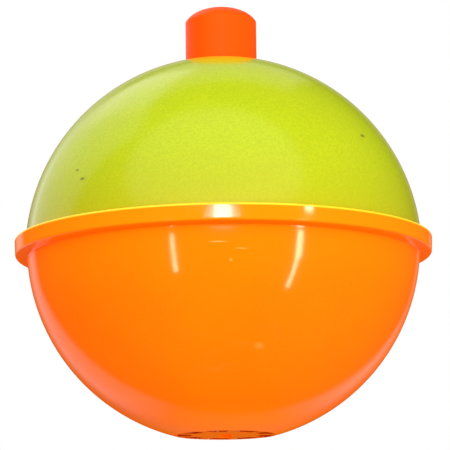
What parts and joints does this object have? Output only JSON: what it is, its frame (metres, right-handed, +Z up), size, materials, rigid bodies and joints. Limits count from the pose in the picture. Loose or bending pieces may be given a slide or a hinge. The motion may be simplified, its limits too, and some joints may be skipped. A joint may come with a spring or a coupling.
{
  "type": "push-button fishing float",
  "caption": "Round two-tone fishing float with a sprung push button on top, and a bent wire through it whose hooks hold the line.",
  "frame": {"origin": "middle of the flat foot under the ball, on the surface that it stands on", "axes": "+Z up through the push button, +Y towards the side that both wire hooks bend to"},
  "size_m": [0.0401, 0.04, 0.0418],
  "materials": {
    "yellow_plastic": "satin moulded fluorescent yellow-green",
    "orange_plastic": "glossy moulded fluorescent orange",
    "button_plastic": "satin moulded red-orange",
    "wire": "drawn wire, lightly tarnished",
    "spring": "drawn spring wire"
  },
  "bodies": {
    "shell": {"lower_shell": "orange_plastic", "upper_shell": "yellow_plastic", "return_spring": "spring"},
    "button": {"push_button": "button_plastic"},
    "wire": {"hook_wire": "wire"}
  },
  "joints": [
    {"name": "button_press", "type": "slide", "parent": "shell", "child": "button", "axis": [0, 0, -1], "range_m": [0, 0.004], "stiffness_N_per_m": 240, "springref_m": -0.0056, "deforming": ["return_spring"]},
    {"name": "wire_slide", "type": "slide", "parent": "button", "child": "wire", "axis": [0, 0, 1], "range_m": [0, 0.004]}
  ]
}
